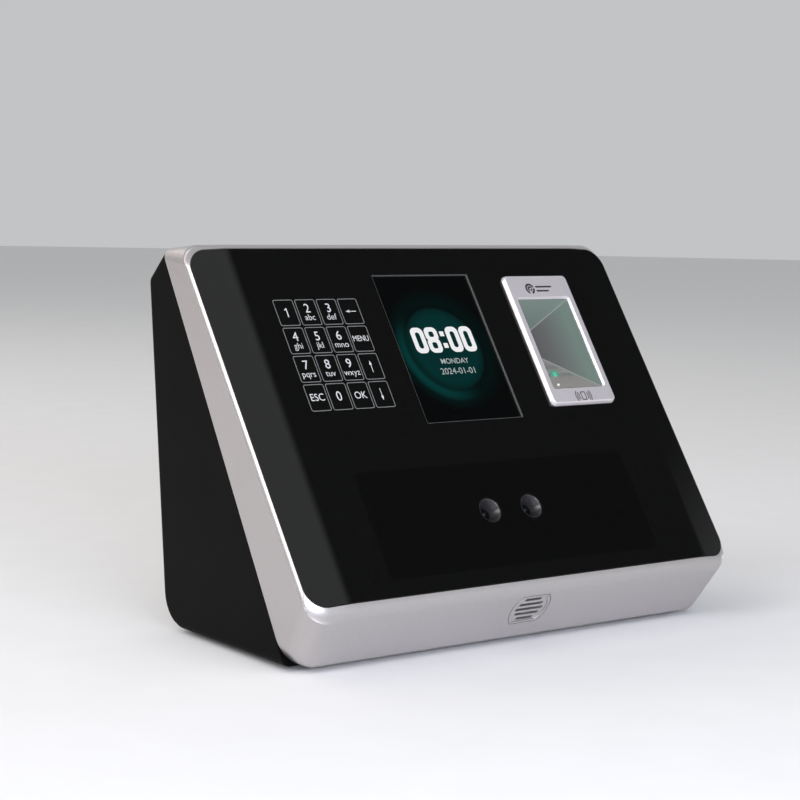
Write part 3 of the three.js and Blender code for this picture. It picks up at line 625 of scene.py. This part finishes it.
def digit_eight(u, v, w):
    wide, stroke = 7.15, 2.2
    rings = []
    for centre, tall, lift in ((v + 2.85, 6.9, 0.0), (v - 2.65, 7.3, 0.003)):
        rings.append(strip(rounded(u, centre, wide, tall, 2.5, 8),
                           rounded(u, centre, wide - 2 * stroke, tall - 2 * 2.1, 0.9, 8),
                           w + lift, w + lift + 0.02))
    return merged(rings)


def display():
    top = -0.97
    piece("display_picture", slab(rounded(0, LCD_V, 53.6, 71.4, 0.3, 2), -1.2, top), wallpaper())
    rim = strip(rounded(0, LCD_V, 54.56, 72.16, 0.4, 4), rounded(0, LCD_V, 54.3, 71.9, 0.3, 4),
                -1.0, -0.12)
    piece("display_trim", rim, TRIM)
    clock_glow = glow("clock_glow", (0.86, 0.86, 0.88), 0.95)
    line_glow = glow("line_glow", (0.50, 0.55, 0.55), 0.75)
    v, w = 114.3, top + 0.005
    clock = [digit_zero(-13.6, v, w), digit_eight(-5.8, v, w), digit_zero(6.1, v, w),
             digit_zero(13.9, v, w)]
    for dot_v in (v + 2.9, v - 2.9):
        clock.append(slab(rounded(0.2, dot_v, 2.4, 2.4, 0.2, 3), w, w + 0.02))
    piece("display_clock", merged(clock), clock_glow)
    piece("display_lines", merged([
        lettering("MONDAY", 3.6, 1.6, 103.6, top + 0.02, weight=0.02),
        lettering("2024-01-01", 4.3, 1.8, 98.7, top + 0.02, narrow=1.02)]), line_glow)


# ------------------------------------------------------------ fingerprint reader

def bezel():
    """Rounded rings, each given as width, height, corner radius and height over the panel."""
    outer = [(39.2, 66.4, 2.6, 0.02), (38.95, 66.15, 2.55, 0.62), (37.95, 65.15, 2.1, 1.78),
             (37.35, 64.55, 1.9, 1.98), (36.9, 64.1, 1.8, 2.0)]
    inner = [(32.6, 47.2, 1.3, 2.0), (32.35, 46.95, 1.2, 1.93), (31.6, 46.2, 0.9, 1.05),
             (31.4, 46.0, 0.8, 0.9), (31.2, 45.8, 0.8, 0.6), (31.2, 45.8, 0.8, -6.0)]
    back = [(36.6, 63.8, 1.6, -6.0), (36.6, 63.8, 1.6, GAP)]
    rings = [at(rounded(READER_U, centre_v, width, height, radius, 10), w)
             for rows, centre_v in ((outer, READER_V), (inner, WINDOW_V), (back, READER_V))
             for width, height, radius, w in rows]
    weighted(piece("fingerprint_surround", mesh_of(*loft(rings, looped=True)), BEZEL,
                   stands_for=["fingerprint_bezel"], sharp=35))


def prism_look(name, stops, axis, low, high):
    """A wall of the prism in painted light and shade: a soft gradient along u, v or w, glowing as
    if lit from inside.
    """
    made, tree, shader = bare(name)
    along = face_place(tree)["uvw".index(axis)]
    share = calc(tree, "DIVIDE", calc(tree, "SUBTRACT", along, low), high - low)
    wobble = calc(tree, "MULTIPLY_ADD", noise(tree, 1.6, 4), 0.26, -0.13)
    colour = ramp(tree, calc(tree, "ADD", share, wobble), stops)
    shader.inputs["Base Color"].default_value = (0.02, 0.022, 0.021, 1)
    shader.inputs["Roughness"].default_value = 0.3
    tree.links.new(colour, shader.inputs["Emission Color"])
    shader.inputs["Emission Strength"].default_value = 1.0
    return made


def prism():
    low, high, half, deep = 86.9, 132.1, 15.4, 28.5
    left, right = READER_U - half, READER_U + half
    face, lip, slope, shell = 0.45, -0.2, 1.07, 0.25
    foot = low + slope * (deep + lip)
    low_slope = [(low, face), (low, lip), (foot, -deep), (high, -deep)]
    # Each wall glows with painted light and shade: lighter towards the window, the back wall
    # lighter towards the top, and the floor painted in bands of reflected light with a dark green
    # band.
    walls = {
        "prism_top_wall": (
            [(left, high, face), (right, high, face), (right, high, -deep), (left, high, -deep)],
            (0, shell, 0),
            prism_look("prism_top_look", [(0, (0.135, 0.175, 0.165)), (1, (0.185, 0.235, 0.222))],
                       "w", -30, -1)),
        "prism_side_wall": (
            [(right, v, w) for v, w in (*low_slope, (high, face))], (shell, 0, 0),
            prism_look("prism_side_look", [(0, (0.105, 0.10, 0.11)), (0.45, (0.14, 0.14, 0.145)),
                                           (1, (0.18, 0.235, 0.215))], "w", -31, -4)),
        "prism_left_wall": (
            [(left, v, w) for v, w in (*low_slope, (high, face))], (-shell, 0, 0),
            prism_look("prism_left_look", [(0, (0.08, 0.10, 0.10)), (1, (0.14, 0.17, 0.165))],
                       "w", -30, -1)),
        "prism_back_wall": (
            [(left, foot, -deep), (right, foot, -deep), (right, high, -deep), (left, high, -deep)],
            (0, 0, -shell),
            prism_look("prism_back_look", [(0, (0.08, 0.09, 0.095)), (1, (0.11, 0.13, 0.13))],
                       "v", 110, 130)),
        "prism_floor": (
            [(left, low, lip), (right, low, lip), (right, foot, -deep), (left, foot, -deep)],
            (0, -shell, -shell),
            prism_look("prism_floor_look",
                       [(0, (0.27, 0.235, 0.238)), (0.38, (0.24, 0.21, 0.21)),
                        (0.43, (0.10, 0.13, 0.12)), (0.52, (0.28, 0.27, 0.25)),
                        (0.68, (0.16, 0.15, 0.155)), (0.84, (0.25, 0.22, 0.225)),
                        (1, (0.17, 0.15, 0.16))], "v", low, foot)),
    }
    for name, (corners, push, look) in walls.items():
        back = [tuple(Vector(c) + Vector(push)) for c in corners]
        piece(name, mesh_of(*loft([corners, back])), look)
    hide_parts("fingerprint_prism")
    prism_lights(low, high, left, right, foot, deep)

    glass, _, shader = bare("prism_clear")
    shader.inputs["Base Color"].default_value = (0.93, 0.97, 0.96, 1)
    shader.inputs["Roughness"].default_value = 0.02
    shader.inputs["IOR"].default_value = 1.45
    shader.inputs["Transmission Weight"].default_value = 1.0
    top = slab(rounded(READER_U, WINDOW_V, 31.0, 45.6, 0.6, 4), 0.5, 0.9)
    piece("prism_top", top, glass)


def prism_lights(low, high, left, right, foot, deep):
    """Painted highlights along the edges where the facets meet, a green light inside, and two
    glints.
    """
    edge_highlight = glow("prism_edge_glow", (0.42, 0.42, 0.42), 0.9)
    soft_highlight = glow("prism_soft_painted_highlight", (0.26, 0.28, 0.275), 0.9)
    # Glowing rods on the facet edges are painted highlights, with the third one softer.
    bars = [((right - 0.2, high - 0.2, 0.3), (right - 0.2, high - 0.2, -deep), 0.16, edge_highlight),
            ((right - 0.2, low + 0.3, -0.3), (right - 0.2, foot, -deep + 0.3), 0.17, edge_highlight),
            ((right - 1.6, low + 0.9, -0.9), (right - 1.6, foot, -deep + 0.5), 0.2, soft_highlight)]
    for index, (a, b, radius, look) in enumerate(bars):
        piece(f"prism_edge_{index + 1}", rod(a, b, radius), look)
    green = glow("reader_light", (0.10, 0.62, 0.42), 0.9)
    dim_green = glow("reader_light_halo", (0.12, 0.36, 0.28), 0.9)
    for name, centre, radii, look in (
            ("reader_light_halo", (68.3, low + 13.2, -11.9), (2.6, 2.4, 0.5), dim_green),
            ("reader_light_spot", (67.8, low + 12.6, -11.2), (1.2, 1.5, 0.4), green)):
        piece(name, ball(centre, radii), look, sharp=80)
    for index, centre in enumerate(((right - 0.9, 113.1, -25.6), (left + 8.2, low + 3.5, -3.2))):
        piece(f"reader_glint_{index + 1}", ball(centre, (0.55, 0.55, 0.4)),
              glow(f"glint_{index + 1}", (1, 1, 1), 1.3), sharp=80)


def rod(a, b, radius):
    steps = 10
    a, b = Vector(a), Vector(b)
    along = (b - a).normalized()
    side = along.cross(Vector((0.3, 0.5, 0.8))).normalized()
    other = along.cross(side)
    rings = [[end + radius * (side * math.cos(t) + other * math.sin(t))
              for t in (2 * math.pi * i / steps for i in range(steps))]
             for end in (a, b)]
    return mesh_of(*loft(rings))


def ball(centre, radii):
    steps, rings = 16, []
    for i in range(1, steps):
        angle = math.pi * i / steps
        rings.append([(centre[0] + radii[0] * math.sin(angle) * math.cos(2 * math.pi * j / steps),
                       centre[1] + radii[1] * math.sin(angle) * math.sin(2 * math.pi * j / steps),
                       centre[2] + radii[2] * math.cos(angle)) for j in range(steps)])
    return mesh_of(*loft(rings))


def bow(centre, radius, half, start, end, steps, low, high):
    """A printed arc, as wide as twice half."""
    outer = arc(*centre, radius + half, start, end, steps)
    inner = arc(*centre, radius - half, start, end, steps)
    return slab(outer + inner[::-1], low, high)


def reader_marks():
    """A finger mark above the window and a card between waves below it, both generic."""
    top, marks = 2.0, []
    ink = top + INK_LOW, top + INK_HIGH
    finger, card = (60.0, 137.3), (66.0, 81.8)
    for radius, half in ((0.95, 0.42), (2.25, 0.5)):
        for start, end in ((20, 250), (285, 365)):
            marks.append(bow(finger, radius, half, start, end, 14, *ink))
    for row, (a, b) in enumerate(((63.6, 73.6), (63.6, 71.2))):
        v = finger[1] + 1.0 - row * 2.1
        marks.append(slab(rounded((a + b) / 2, v, b - a, 0.85, 0.3, 3), *ink))
    marks.append(strip(rounded(*card, 3.0, 4.2, 0.6, 4), rounded(*card, 2.1, 3.3, 0.3, 4), *ink))
    for facing in (180, 0):
        for radius in (2.7, 3.7, 4.7):
            marks.append(bow(card, radius, 0.22, facing - 32, facing + 32, 10, *ink))
    piece("reader_marks", merged(marks), PRINT_DARK)


# ------------------------------------------------------------ cameras

def cameras():
    """A funnel, a lens and a dark ring for each camera, turned from (radius, height) profiles."""
    funnel = [(2.7, -4.6), (2.8, -4.35), (4.95, -0.4), (5.12, -0.12), (5.25, -0.02), (5.4, -0.02),
              (5.4, -6.4), (2.7, -6.4), (2.7, -4.6)]
    radius, shoulder, rise = 1.0, -5.2, 0.8
    dome = [(0, -8), (radius, -8), (radius, shoulder)]
    dome += [(radius * math.cos(a), shoulder + rise * math.sin(a))
             for a in (math.radians(10 * i) for i in range(1, 9))] + [(0, shoulder + rise)]
    ring = [(1.05, -5.6), (2.66, -5.6), (2.66, -4.62), (2.5, -4.55), (1.2, -5.15), (1.05, -5.6)]
    for side, name in ((-1, "left"), (1, "right")):
        centre = (side * CONES_U, CONES_V)
        piece(f"camera_funnel_{name}", turned(funnel, centre, 72), CONE,
              stands_for=[f"camera_cone_{name}"], sharp=40)
        piece(f"camera_glass_{name}", turned(dome, centre, 40), LENS,
              stands_for=[f"camera_lens_{name}"], sharp=50)
        piece(f"camera_lens_ring_{name}", turned(ring, centre, 40), HOUSING,
              sharp=50)


# ------------------------------------------------------------ housing, sockets and small hardware

def body_name(node):
    bodies = frame["record"]["behaviour"]["bodies"]
    return next(name for name, nodes in bodies.items() if node in nodes)


def refined(node, look, edge, angle=35):
    """A node's own shape with its flat faces merged and its edges rounded."""
    work = bmesh.new()
    work.from_mesh(frame["nodes"][node].data)
    bmesh.ops.remove_doubles(work, verts=work.verts, dist=1e-6)
    bmesh.ops.dissolve_limit(work, angle_limit=math.radians(0.6), verts=work.verts,
                             edges=work.edges)
    mesh = bpy.data.meshes.new(node)
    work.to_mesh(mesh)
    work.free()
    mesh = softened(mesh, edge, 2, angle)
    weighted(piece(f"{node}_shell", mesh, look, body_name(node), [node], sharp=32))


def hardware():
    refined("wall_plate", PLATE, 0.2)
    refined("usb_cover", RUBBER, 0.25)
    for node in ("ethernet_jack", "power_jack", "usb_port"):
        refined(node, BLACK if node == "power_jack" else STEEL, 0.15)
    for node in ("reset_button", "tamper_plunger"):
        refined(node, WHITE, 0.12)
    for node in ("rubber_foot_front_left", "rubber_foot_front_right", "rubber_foot_rear_left",
                 "rubber_foot_rear_right"):
        refined(node, RUBBER, 0.3, 50)


def plain_nodes():
    """Every node of the frame gets the look of its own slot; some are replaced afterwards."""
    for obj in frame["nodes"].values():
        for index, material in enumerate(obj.data.materials):
            obj.data.materials[index] = SLOT_LOOK[material.name.split(".")[0]]
        obj.data.shade_smooth()
        obj.data.set_sharp_from_angle(angle=math.radians(32))


plain_nodes()
front_frame()
grille()
front_panel()
keypad()
display()
bezel()
prism()
reader_marks()
cameras()
hardware()

# ------------------------------------------------------------ floor, light and camera

FLOOR_RADIUS, FLOOR_SIDES = 7, 64
floor_mesh = bpy.data.meshes.new("floor")
floor_mesh.from_pydata([(FLOOR_RADIUS * math.cos(2 * math.pi * i / FLOOR_SIDES),
                         FLOOR_RADIUS * math.sin(2 * math.pi * i / FLOOR_SIDES), 0)
                        for i in range(FLOOR_SIDES)], [], [tuple(range(FLOOR_SIDES))])
floor = bpy.data.objects.new("floor", floor_mesh)
bpy.context.scene.collection.objects.link(floor)
floor_mesh.materials.append(finish("floor_paper", (0.80, 0.80, 0.80), 0.9, 0, (30, 0.01), 0.02,
                                   Specular_IOR_Level=0.1))


def softbox(name, where, aim, size, power, colour=(1, 1, 1), tall=None):
    light = bpy.data.lights.new(name, "AREA")
    light.energy = power
    light.color = colour
    light.shape = "RECTANGLE"
    light.size, light.size_y = size, tall or size
    obj = bpy.data.objects.new(name, light)
    obj.location = where
    obj.rotation_euler = (Vector(aim) - Vector(where)).to_track_quat("-Z", "Y").to_euler()
    bpy.context.scene.collection.objects.link(obj)


middle = (0, 0, 0.09)
softbox("left", (-1.55, -0.2, 1.05), middle, 1.0, 13, (1.0, 0.99, 0.98))
softbox("warm", (-1.1, 1.3, 1.4), (-0.75, 0.8, 0), 0.8, 6, (1.0, 0.74, 0.60))
softbox("top_back", (-0.3, 1.5, 1.9), middle, 1.2, 8)
softbox("front_low", (-0.45, -1.3, 0.35), (0, 0, 0.0), 1.0, 20, (0.80, 0.85, 1.0), 0.5)
softbox("spark", (-0.95, -1.0, 0.28), middle, 0.12, 2.0)

FILL, CARD_FILL = 0.56, 0.03
world = bpy.data.worlds.new("studio")
bpy.context.scene.world = world
world.use_nodes = True
tree = world.node_tree
background = tree.nodes["Background"]
direction = tree.nodes.new("ShaderNodeTexCoord").outputs["Generated"]


def band(value, low_from, low_to, high_from, high_to):
    """1 where the value lies in a band with soft ends, else 0."""
    ends = []
    for start, end in ((low_from, low_to), (high_to, high_from)):
        step = tree.nodes.new("ShaderNodeMapRange")
        step.interpolation_type = "SMOOTHSTEP"
        step.inputs["From Min"].default_value, step.inputs["From Max"].default_value = start, end
        tree.links.new(value, step.inputs["Value"])
        ends.append(step.outputs[0])
    return calc(tree, "MULTIPLY", *ends)


# One dark card above and to the right of the camera, which the flat of the panel mirrors.
split = tree.nodes.new("ShaderNodeSeparateXYZ")
tree.links.new(direction, split.inputs[0])
card = calc(tree, "MULTIPLY", band(split.outputs["X"], 0.48, 0.57, 0.90, 1.05),
            band(split.outputs["Z"], 0.40, 0.50, 0.84, 0.92))
card = calc(tree, "MULTIPLY", card, calc(tree, "LESS_THAN", split.outputs["Y"], 0.0))
shade = calc(tree, "MULTIPLY_ADD", card, CARD_FILL - FILL, FILL)
background.inputs["Color"].default_value = (0.97, 0.985, 1.0, 1)
tree.links.new(shade, background.inputs["Strength"])

# The camera of the photograph, solved from the object's corners.
CAMERA_AT = (-604.39, -636.81, 154.19)
yaw, pitch, roll = (math.radians(a) for a in (39.6698, 5.2867, -1.0359))
ahead = Vector((math.sin(yaw) * math.cos(pitch), math.cos(yaw) * math.cos(pitch), -math.sin(pitch)))
across = Vector((math.cos(yaw), -math.sin(yaw), 0))
down = ahead.cross(across)
camera_x = math.cos(roll) * across + math.sin(roll) * down
camera_down = -math.sin(roll) * across + math.cos(roll) * down
lens = bpy.data.cameras.new("camera")
lens.lens, lens.sensor_width = 96.12, 36
lens.clip_start = 0.02
camera = bpy.data.objects.new("camera", lens)
camera.matrix_world = (Matrix.Translation(BODY @ Vector(CAMERA_AT))
                       @ Matrix((camera_x, -camera_down, -ahead)).transposed().to_4x4())
bpy.context.scene.collection.objects.link(camera)
bpy.context.scene.camera = camera
bpy.context.scene.view_settings.view_transform = "Standard"
